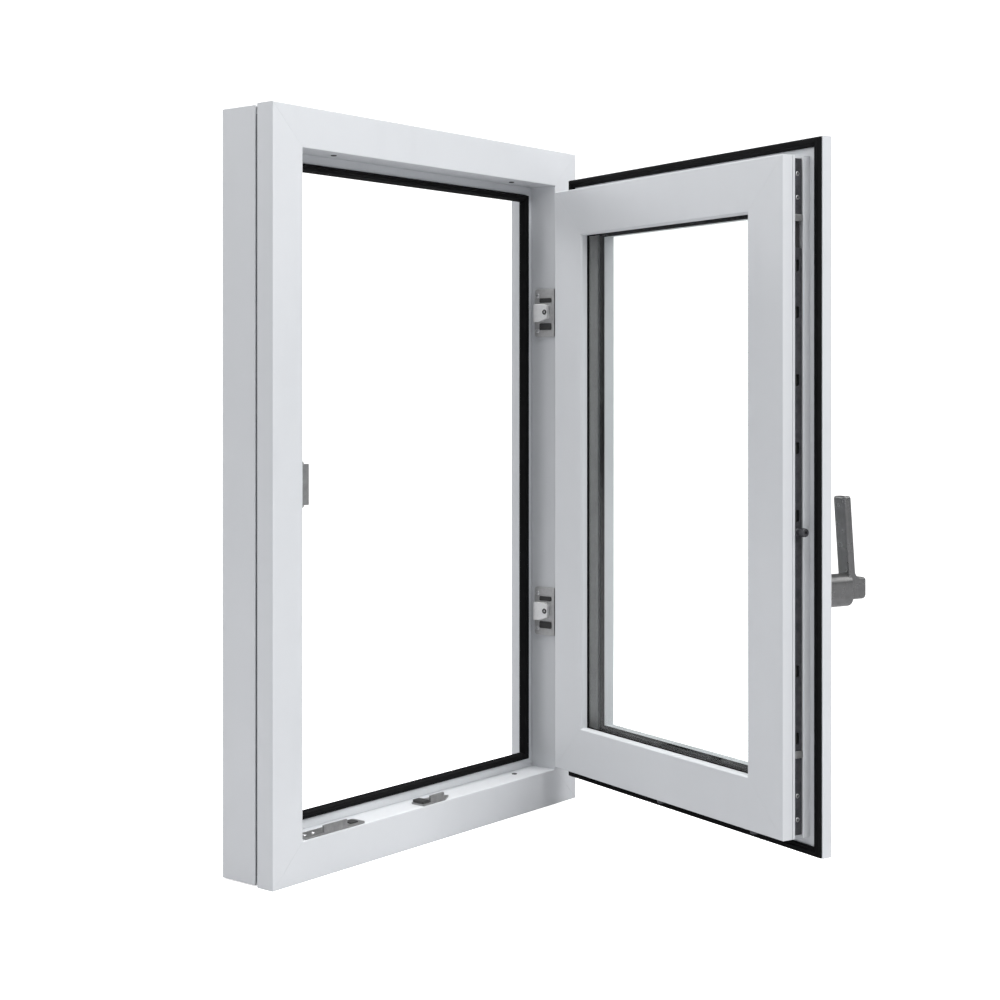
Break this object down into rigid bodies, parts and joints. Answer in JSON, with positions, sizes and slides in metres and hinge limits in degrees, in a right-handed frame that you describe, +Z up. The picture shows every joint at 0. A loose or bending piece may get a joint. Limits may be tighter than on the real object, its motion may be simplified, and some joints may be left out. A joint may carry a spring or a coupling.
{
  "type": "casement window",
  "caption": "Inward-opening side-hung aluminium casement window with double glazing, two hinges and a lever that drives the lock.",
  "frame": {"origin": "on the frame's underside, midway along the sill, at the middle of the seating face's depth (13 mm behind the room face)", "axes": "+X to the right as seen from the room, which is the hinge side; +Y towards the outdoors; +Z up"},
  "size_m": [0.585, 0.5921, 0.9],
  "materials": {
    "coated_aluminium": "silver-white powder coat, fine texture, satin",
    "polyamide": "glass-filled polyamide, matt",
    "seal_rubber": "black EPDM, satin",
    "glass": "clear float glass",
    "spacer_aluminium": "mill finish",
    "handle_metal": "satin grey metal",
    "lock_steel": "zinc-plated steel, dull",
    "bright_zinc": "zinc-plated, bright"
  },
  "bodies": {
    "frame": {"frame_sill_room_half": "coated_aluminium", "frame_hinge_jamb_room_half": "coated_aluminium", "frame_head_room_half": "coated_aluminium", "frame_lock_jamb_room_half": "coated_aluminium", "frame_sill_outdoor_half": "coated_aluminium", "frame_hinge_jamb_outdoor_half": "coated_aluminium", "frame_head_outdoor_half": "coated_aluminium", "frame_lock_jamb_outdoor_half": "coated_aluminium", "frame_sill_thermal_break": "polyamide", "frame_hinge_jamb_thermal_break": "polyamide", "frame_head_thermal_break": "polyamide", "frame_lock_jamb_thermal_break": "polyamide", "frame_centre_gasket": "seal_rubber", "corner_cleat_bottom_lock": "lock_steel", "corner_cleat_bottom_hinge": "lock_steel", "corner_cleat_top_lock": "lock_steel", "corner_cleat_top_hinge": "lock_steel", "lock_jamb_keep": "bright_zinc", "sill_corner_keep": "bright_zinc", "sill_mid_keep": "bright_zinc", "hinge_lower_frame_leaf": "bright_zinc", "hinge_lower_clamp": "bright_zinc", "hinge_lower_pin": "lock_steel", "hinge_upper_frame_leaf": "bright_zinc", "hinge_upper_clamp": "bright_zinc", "hinge_upper_pin": "lock_steel"},
    "sash": {"sash_bottom_rail_room_half": "coated_aluminium", "sash_hinge_stile_room_half": "coated_aluminium", "sash_top_rail_room_half": "coated_aluminium", "sash_lock_stile_room_half": "coated_aluminium", "sash_bottom_rail_outdoor_half": "coated_aluminium", "sash_hinge_stile_outdoor_half": "coated_aluminium", "sash_top_rail_outdoor_half": "coated_aluminium", "sash_lock_stile_outdoor_half": "coated_aluminium", "sash_thermal_break": "polyamide", "sash_overlap_gasket": "seal_rubber", "glass_pane_outdoor": "glass", "glass_pane_room": "glass", "glass_spacer_bar": "spacer_aluminium", "glazing_gasket_outdoor": "seal_rubber", "glazing_gasket_room": "seal_rubber", "glazing_bead_bottom_rail": "coated_aluminium", "glazing_bead_hinge_stile": "coated_aluminium", "glazing_bead_top_rail": "coated_aluminium", "glazing_bead_lock_stile": "coated_aluminium", "setting_block_lock_side": "polyamide", "setting_block_hinge_side": "polyamide", "hinge_lower_sash_leaf": "bright_zinc", "hinge_upper_sash_leaf": "bright_zinc", "corner_drive_bottom": "lock_steel", "corner_drive_top": "lock_steel", "gearbox": "lock_steel", "handle_rosette": "handle_metal"},
    "handle": {"handle_lever": "handle_metal", "handle_spindle": "bright_zinc"},
    "stile_rod": {"stile_drive_rod": "lock_steel", "stile_cam": "bright_zinc"},
    "bottom_rod": {"bottom_drive_rod": "lock_steel", "bottom_cam_corner": "bright_zinc", "bottom_cam_mid": "bright_zinc"}
  },
  "joints": [
    {"name": "sash_hinge", "type": "hinge", "parent": "frame", "child": "sash", "pos_m": [0.2615, -0.0334, 0.471], "axis": [0, 0, 1], "range_deg": [-70.7, 34.3]},
    {"name": "lever_turn", "type": "hinge", "parent": "sash", "child": "handle", "pos_m": [0.10351, -0.48454, 0.339], "axis": [-0.9438, 0.3305, 0], "range_deg": [0, 180]},
    {"name": "stile_rod_slide", "type": "slide", "parent": "sash", "child": "stile_rod", "axis": [0, 0, 1], "range_m": [0, 0.036]},
    {"name": "bottom_rod_slide", "type": "slide", "parent": "sash", "child": "bottom_rod", "axis": [-0.3305, -0.9438, 0], "range_m": [0, 0.036]}
  ],
  "couplings": [
    {"joint": "stile_rod_slide", "follows": "lever_turn", "m_per_rad": 0.011459},
    {"joint": "bottom_rod_slide", "follows": "lever_turn", "m_per_rad": 0.011459}
  ]
}
